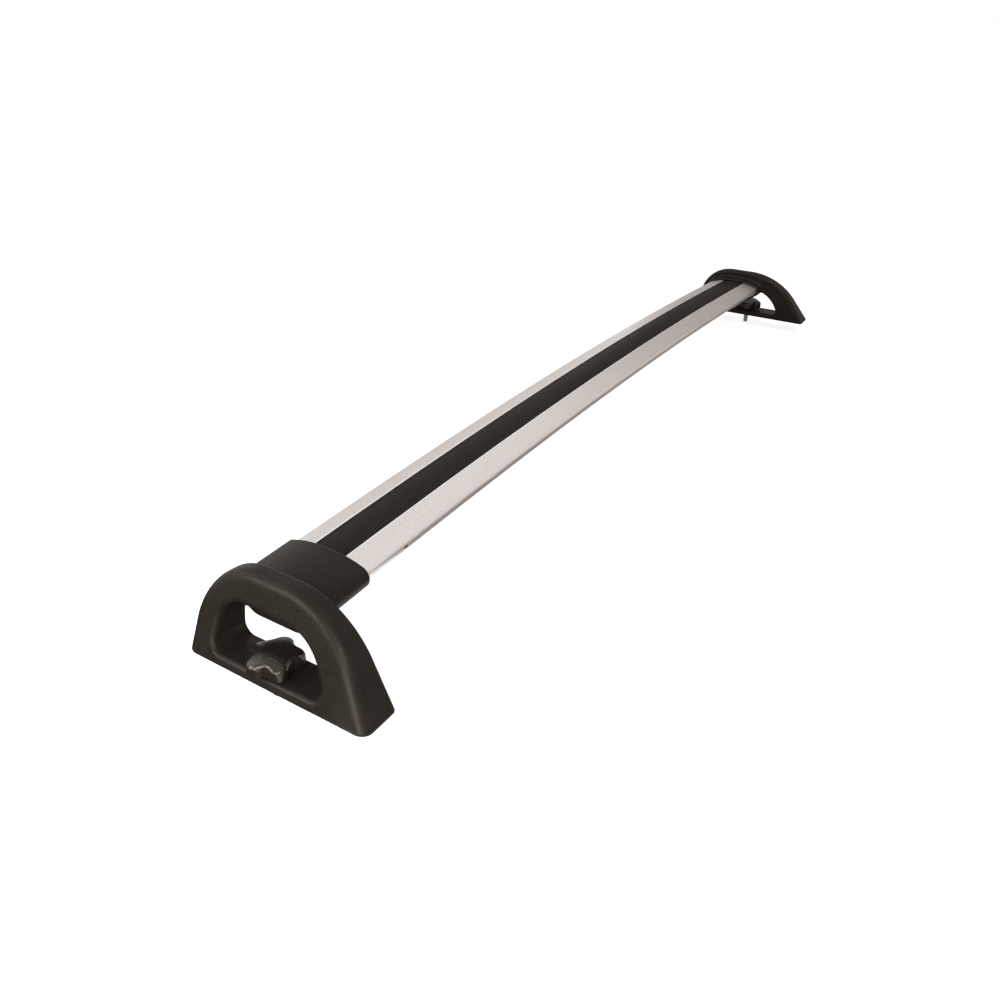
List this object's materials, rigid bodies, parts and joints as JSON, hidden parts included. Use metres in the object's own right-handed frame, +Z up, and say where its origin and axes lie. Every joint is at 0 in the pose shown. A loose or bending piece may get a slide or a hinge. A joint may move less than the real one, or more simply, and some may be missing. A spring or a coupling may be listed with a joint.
{
  "type": "roof rack crossbar",
  "caption": "Arched aluminium roof rack crossbar with a rubber-topped wing section, carried on moulded end feet with finger windows and star-knob clamp studs.",
  "frame": {"origin": "midway between the two clamp studs, on the rail plane that the base pads rest on", "axes": "+X along the bar towards the fixed foot, +Y towards the steep noses of the feet, +Z up from the rails"},
  "size_m": [1.0098, 0.1548, 0.0794],
  "materials": {
    "anodised_aluminium": "satin silver, blasted and anodised",
    "strip_rubber": "matte black extruded rubber",
    "foot_plastic": "warm black moulded plastic with a fine grain",
    "knob_plastic": "half-gloss black moulded plastic",
    "pad_rubber": "matte black rubber",
    "zinc_steel": "zinc-plated steel"
  },
  "bodies": {
    "bar_and_fixed_foot": {"bar_extrusion": "anodised_aluminium", "rubber_strip": "strip_rubber", "right_foot": "foot_plastic", "right_end_screws": "zinc_steel", "right_bush": "zinc_steel", "right_washer": "zinc_steel", "right_base_pad": "pad_rubber"},
    "sliding_foot": {"left_foot": "foot_plastic", "left_guide_screw": "zinc_steel", "left_bush": "zinc_steel", "left_washer": "zinc_steel", "left_base_pad": "pad_rubber"},
    "left_clamp": {"left_knob": "knob_plastic", "left_stud": "zinc_steel", "left_retainer": "zinc_steel"},
    "right_clamp": {"right_knob": "knob_plastic", "right_stud": "zinc_steel", "right_retainer": "zinc_steel"}
  },
  "joints": [
    {"name": "left_foot_slide", "type": "slide", "parent": "bar_and_fixed_foot", "child": "sliding_foot", "axis": [-0.9989, 0, -0.0475], "range_m": [-0.01, 0.01]},
    {"name": "left_knob_turn", "type": "hinge", "parent": "sliding_foot", "child": "left_clamp", "pos_m": [-0.486, 0, 0], "axis": [0, 0, 1], "continuous": true},
    {"name": "right_knob_turn", "type": "hinge", "parent": "bar_and_fixed_foot", "child": "right_clamp", "pos_m": [0.486, 0, 0], "axis": [0, 0, 1], "continuous": true}
  ]
}
